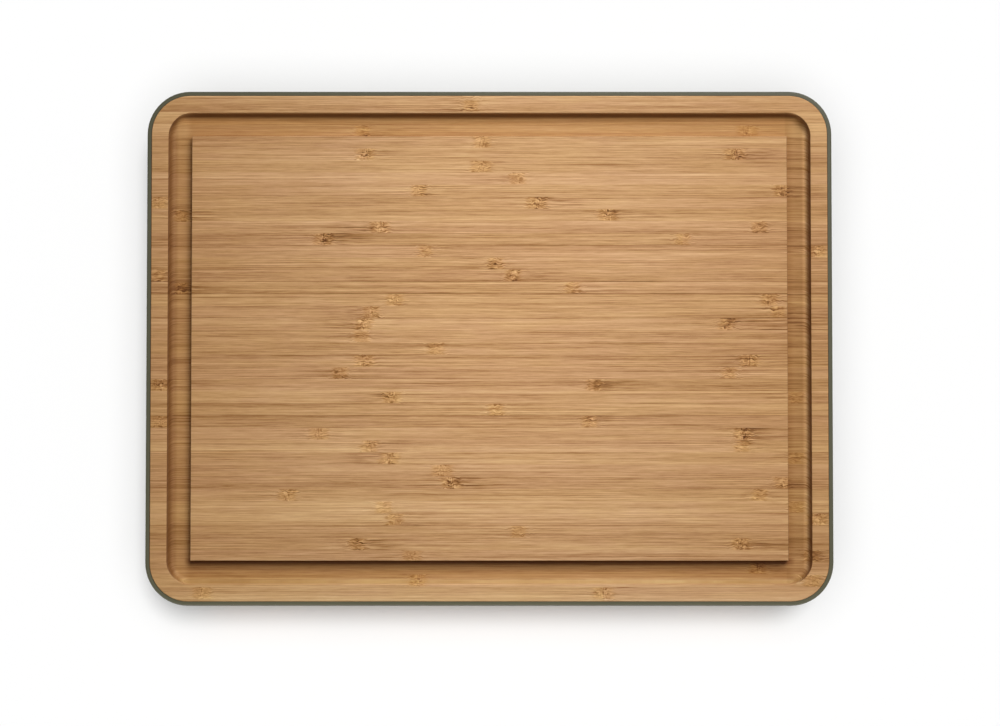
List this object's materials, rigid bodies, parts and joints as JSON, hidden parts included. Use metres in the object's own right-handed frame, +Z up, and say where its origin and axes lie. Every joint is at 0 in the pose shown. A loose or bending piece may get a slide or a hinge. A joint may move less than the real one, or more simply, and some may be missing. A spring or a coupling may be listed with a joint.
{
  "type": "cutting board with drawer trays",
  "caption": "Bamboo cutting board with a juice groove, framed by a rounded housing on soft feet, with trays on runners that pull out below it.",
  "frame": {"origin": "middle of the footprint, on the surface that the feet stand on", "axes": "+X along the board, +Y to the back, +Z up; the drawers pull out towards -Y"},
  "size_m": [0.4, 0.3, 0.055],
  "materials": {
    "bamboo_board": "oiled bamboo in narrow glued strips",
    "bamboo_front": "oiled bamboo in narrow glued strips",
    "housing_plastic": "matte olive moulding",
    "base_plastic": "matte olive moulding",
    "tray_plastic": "satin off-white moulding",
    "runner_plastic": "smooth natural moulding",
    "silicone": "matte silicone",
    "screw_steel": "plain stainless steel"
  },
  "bodies": {
    "housing": {"cutting_board": "bamboo_board", "housing_shell": "housing_plastic", "base_plate": "base_plastic", "left_runner": "runner_plastic", "centre_runner": "runner_plastic", "right_runner": "runner_plastic", "foot_front_left": "silicone", "foot_front_right": "silicone", "foot_back_left": "silicone", "foot_back_right": "silicone", "board_screws": "screw_steel", "base_screws": "screw_steel", "runner_screws": "screw_steel", "rear_bumpers": "silicone"},
    "left_drawer": {"left_tray": "tray_plastic", "left_front": "bamboo_front", "left_front_screws": "screw_steel"},
    "right_drawer": {"right_tray": "tray_plastic", "right_front": "bamboo_front", "right_front_screws": "screw_steel"}
  },
  "joints": [
    {"name": "left_drawer_slide", "type": "slide", "parent": "housing", "child": "left_drawer", "axis": [0, -1, 0], "range_m": [0, 0.19]},
    {"name": "right_drawer_slide", "type": "slide", "parent": "housing", "child": "right_drawer", "axis": [0, -1, 0], "range_m": [0, 0.19]}
  ]
}
